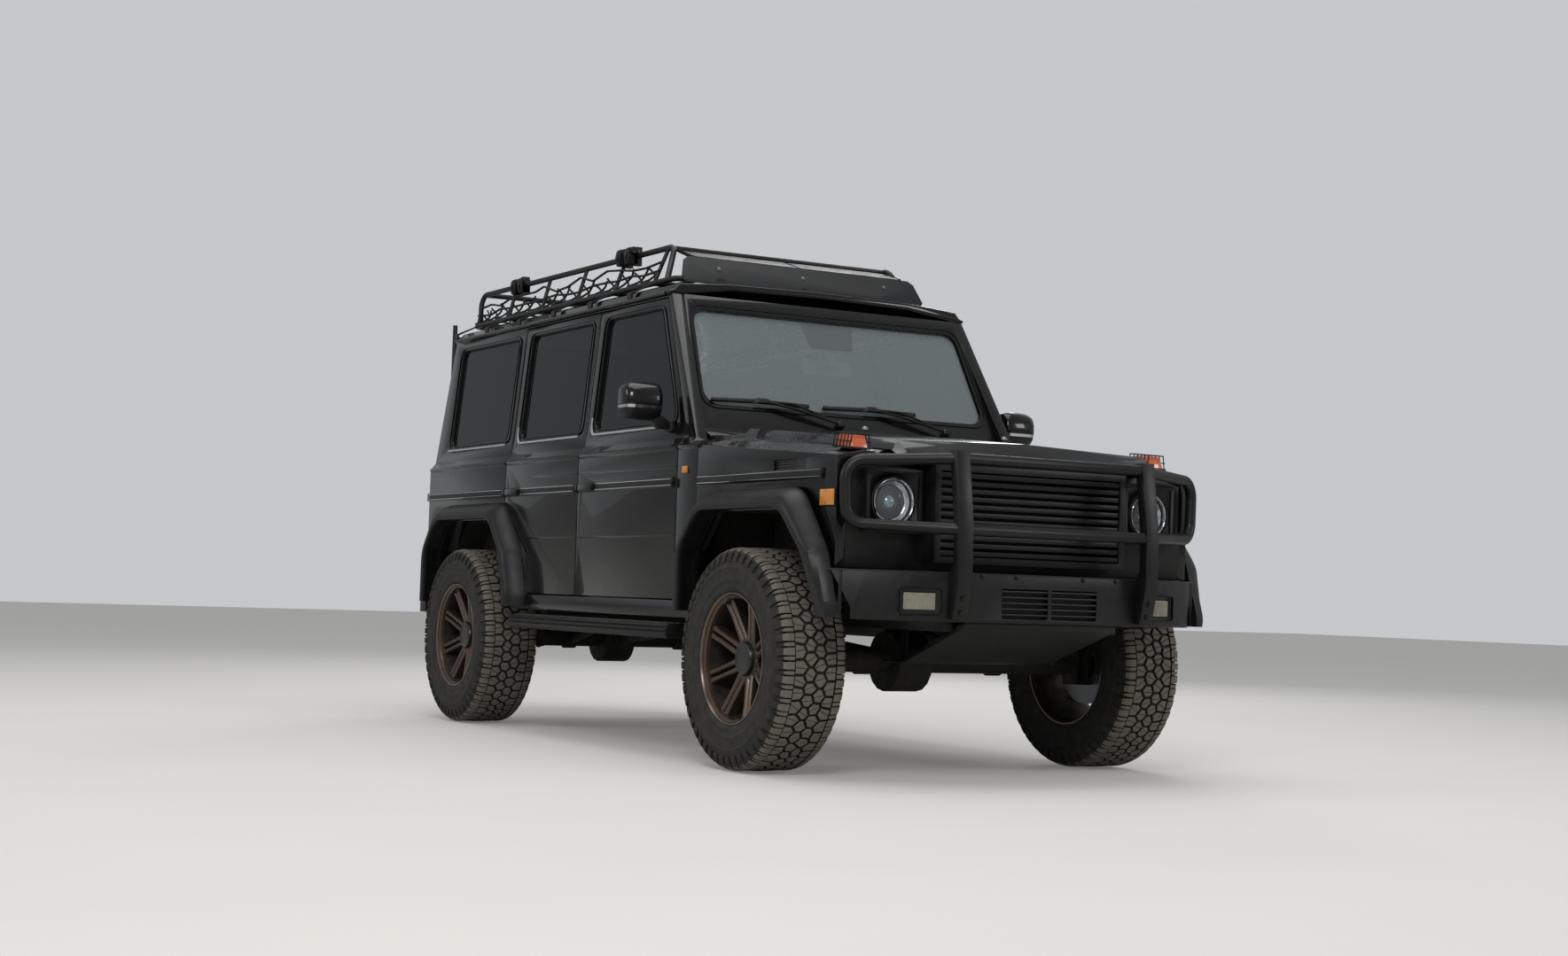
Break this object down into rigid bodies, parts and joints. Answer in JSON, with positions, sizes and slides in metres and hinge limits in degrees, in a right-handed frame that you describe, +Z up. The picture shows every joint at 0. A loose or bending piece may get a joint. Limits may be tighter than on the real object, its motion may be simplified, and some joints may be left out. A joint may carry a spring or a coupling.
{
  "type": "lifted off-road estate car",
  "caption": "Boxy long-wheelbase 4x4 estate with raised suspension, wide flares, front guard, roof rack, opening doors, bonnet and rear door, and steered spinning wheels.",
  "frame": {"origin": "middle of the vehicle's box on the floor", "axes": "+X forward along the vehicle, +Y to its left, +Z up"},
  "size_m": [4.727, 2.024, 2.207],
  "materials": {
    "body_paint": "gloss black body paint",
    "satin_trim": "satin black flares, bumper and trim",
    "coated_steel": "satin black powder coat",
    "chassis_steel": "black underbody paint",
    "cast_metal": "cast housings",
    "bright_steel": "brushed steel",
    "wheel_bronze": "dark bronze alloy",
    "tyre_rubber": "tyre rubber",
    "window_glass": "tinted safety glass",
    "lamp_glass": "clear lamp lens",
    "lamp_bright": "bright lamp body",
    "amber_lens": "amber lens",
    "red_lens": "red lens",
    "cabin_plastic": "dark cabin plastic",
    "seat_leather": "dark leather"
  },
  "bodies": {
    "vehicle": {"chassis_rails": "chassis_steel", "cross_members": "chassis_steel", "floor_pan": "chassis_steel", "wheel_housings": "chassis_steel", "bulkhead": "chassis_steel", "body_sides": "body_paint", "roof_panel": "body_paint", "windscreen_frame": "body_paint", "fixed_glass": "window_glass", "front_wings": "body_paint", "grille": "satin_trim", "lamp_units": "lamp_bright", "lamp_lenses": "lamp_glass", "signal_lamps": "amber_lens", "front_bumper": "satin_trim", "skid_plate": "coated_steel", "brush_guard": "coated_steel", "wheel_flares": "satin_trim", "running_boards": "satin_trim", "roof_rack": "coated_steel", "wind_deflector": "coated_steel", "seats": "seat_leather", "dashboard": "cabin_plastic", "powertrain": "cast_metal", "front_axle": "cast_metal", "rear_axle": "cast_metal", "suspension": "chassis_steel", "rear_bumper": "satin_trim", "rear_lamps": "red_lens", "fuel_tank": "chassis_steel", "exhaust": "bright_steel", "wipers": "satin_trim"},
    "bonnet_lid": {"bonnet": "body_paint"},
    "right_front_door": {"door_front_right": "body_paint", "glass_front_right": "window_glass", "mirror_right": "body_paint"},
    "left_front_door": {"door_front_left": "body_paint", "glass_front_left": "window_glass", "mirror_left": "body_paint"},
    "right_rear_door": {"door_rear_right": "body_paint", "glass_rear_right": "window_glass"},
    "left_rear_door": {"door_rear_left": "body_paint", "glass_rear_left": "window_glass"},
    "tail_door": {"rear_door": "body_paint", "rear_glass": "window_glass", "ladder": "coated_steel", "spare_rim": "wheel_bronze", "spare_tyre": "tyre_rubber"},
    "steering": {"steering_wheel": "cabin_plastic"},
    "right_knuckle": {"knuckle_right": "cast_metal"},
    "left_knuckle": {"knuckle_left": "cast_metal"},
    "front_right_wheel": {"tyre_front_right": "tyre_rubber", "rim_front_right": "wheel_bronze"},
    "front_left_wheel": {"tyre_front_left": "tyre_rubber", "rim_front_left": "wheel_bronze"},
    "rear_right_wheel": {"tyre_rear_right": "tyre_rubber", "rim_rear_right": "wheel_bronze"},
    "rear_left_wheel": {"tyre_rear_left": "tyre_rubber", "rim_rear_left": "wheel_bronze"}
  },
  "joints": [
    {"name": "bonnet_hinge", "type": "hinge", "parent": "vehicle", "child": "bonnet_lid", "pos_m": [0.9855, 0, 1.308], "axis": [0, -1, 0], "range_deg": [0, 60]},
    {"name": "right_front_door_hinge", "type": "hinge", "parent": "vehicle", "child": "right_front_door", "pos_m": [0.8635, -0.823, 1.26], "axis": [0, 0, 1], "range_deg": [0, 70]},
    {"name": "left_front_door_hinge", "type": "hinge", "parent": "vehicle", "child": "left_front_door", "pos_m": [0.8635, 0.823, 1.26], "axis": [0, 0, -1], "range_deg": [0, 70]},
    {"name": "right_rear_door_hinge", "type": "hinge", "parent": "vehicle", "child": "right_rear_door", "pos_m": [-0.1125, -0.823, 1.26], "axis": [0, 0, 1], "range_deg": [0, 70]},
    {"name": "left_rear_door_hinge", "type": "hinge", "parent": "vehicle", "child": "left_rear_door", "pos_m": [-0.1125, 0.823, 1.26], "axis": [0, 0, -1], "range_deg": [0, 70]},
    {"name": "tail_door_hinge", "type": "hinge", "parent": "vehicle", "child": "tail_door", "pos_m": [-1.9835, -0.698, 1.26], "axis": [0, 0, 1], "range_deg": [0, 90]},
    {"name": "right_knuckle_steer", "type": "hinge", "parent": "vehicle", "child": "right_knuckle", "pos_m": [1.5335, -0.68, 0.42], "axis": [0, 0, 1], "range_deg": [-28, 28]},
    {"name": "left_knuckle_steer", "type": "hinge", "parent": "vehicle", "child": "left_knuckle", "pos_m": [1.5335, 0.68, 0.42], "axis": [0, 0, 1], "range_deg": [-28, 28]},
    {"name": "steering_wheel_turn", "type": "hinge", "parent": "vehicle", "child": "steering", "pos_m": [0.4435, 0.37, 1.265], "axis": [-0.8713, 0, 0.4907], "range_deg": [-532, 532]},
    {"name": "front_right_spin", "type": "hinge", "parent": "right_knuckle", "child": "front_right_wheel", "pos_m": [1.5335, -0.772, 0.42], "axis": [0, 1, 0], "continuous": true},
    {"name": "front_left_spin", "type": "hinge", "parent": "left_knuckle", "child": "front_left_wheel", "pos_m": [1.5335, 0.772, 0.42], "axis": [0, 1, 0], "continuous": true},
    {"name": "rear_right_spin", "type": "hinge", "parent": "vehicle", "child": "rear_right_wheel", "pos_m": [-1.3165, -0.772, 0.42], "axis": [0, 1, 0], "continuous": true},
    {"name": "rear_left_spin", "type": "hinge", "parent": "vehicle", "child": "rear_left_wheel", "pos_m": [-1.3165, 0.772, 0.42], "axis": [0, 1, 0], "continuous": true}
  ],
  "couplings": [
    {"joint": "left_knuckle_steer", "follows": "right_knuckle_steer", "ratio": 1},
    {"joint": "steering_wheel_turn", "follows": "right_knuckle_steer", "ratio": 19}
  ]
}
